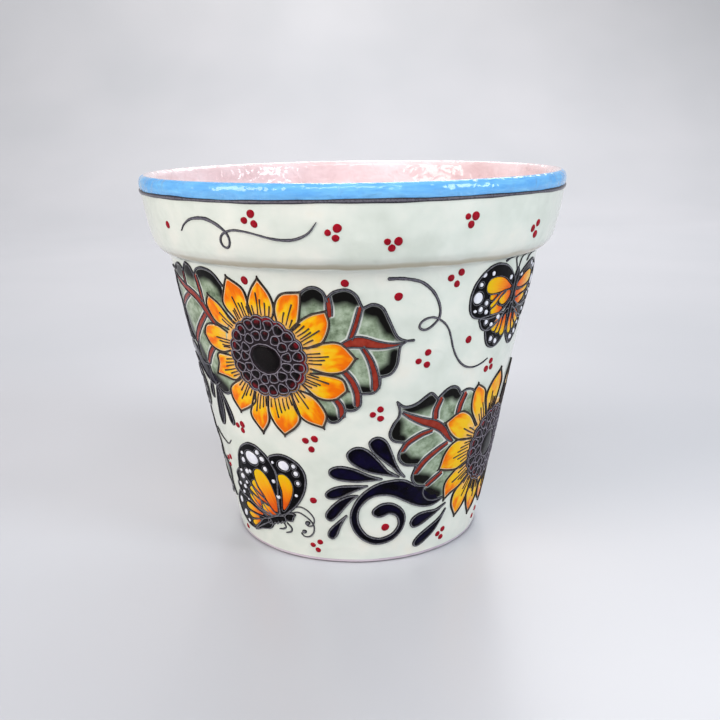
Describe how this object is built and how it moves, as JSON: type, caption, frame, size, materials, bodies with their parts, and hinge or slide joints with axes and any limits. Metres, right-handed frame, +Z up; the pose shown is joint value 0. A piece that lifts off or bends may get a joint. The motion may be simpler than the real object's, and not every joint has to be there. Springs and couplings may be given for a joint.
{
  "type": "talavera flowerpot",
  "caption": "Tapered glazed earthenware flowerpot with a flared collar, blue lip, pink inside and raised sunflowers, leaf sprays, scrolls and butterflies.",
  "frame": {"origin": "centre of the foot, on the ground", "axes": "+Z up along the pot's axis; the side with the upper sunflower left of centre faces -Y"},
  "size_m": [0.254, 0.254, 0.2225],
  "materials": {
    "earthenware": "matte",
    "ivory_glaze": "gloss",
    "blue_glaze": "gloss",
    "pink_glaze": "gloss",
    "mauve_glaze": "gloss",
    "dark_slip": "gloss",
    "petal_enamel": "gloss",
    "leaf_enamel": "gloss",
    "black_enamel": "gloss",
    "wing_enamel": "gloss",
    "tendril_slip": "gloss"
  },
  "bodies": {
    "root": {"clay_body": "earthenware", "wall_glaze": "ivory_glaze", "foot_band": "mauve_glaze", "collar_glaze": "ivory_glaze", "lip_glaze": "blue_glaze", "inside_glaze": "pink_glaze", "lip_line": "dark_slip", "front_upper_sunflower": "petal_enamel", "front_lower_sunflower": "petal_enamel", "front_upper_spray_right": "leaf_enamel", "front_upper_spray_left": "leaf_enamel", "front_lower_spray_left": "leaf_enamel", "front_lower_spray_right": "leaf_enamel", "front_lower_scroll": "black_enamel", "front_upper_scroll": "black_enamel", "front_low_butterfly": "wing_enamel", "front_high_butterfly": "wing_enamel", "front_wall_tendril": "tendril_slip", "front_collar_tendril": "tendril_slip", "back_upper_sunflower": "petal_enamel", "back_lower_sunflower": "petal_enamel", "back_upper_spray_right": "leaf_enamel", "back_upper_spray_left": "leaf_enamel", "back_lower_spray_left": "leaf_enamel", "back_lower_spray_right": "leaf_enamel", "back_lower_scroll": "black_enamel", "back_upper_scroll": "black_enamel", "back_low_butterfly": "wing_enamel", "back_high_butterfly": "wing_enamel", "back_wall_tendril": "tendril_slip", "back_collar_tendril": "tendril_slip"}
  },
  "joints": []
}
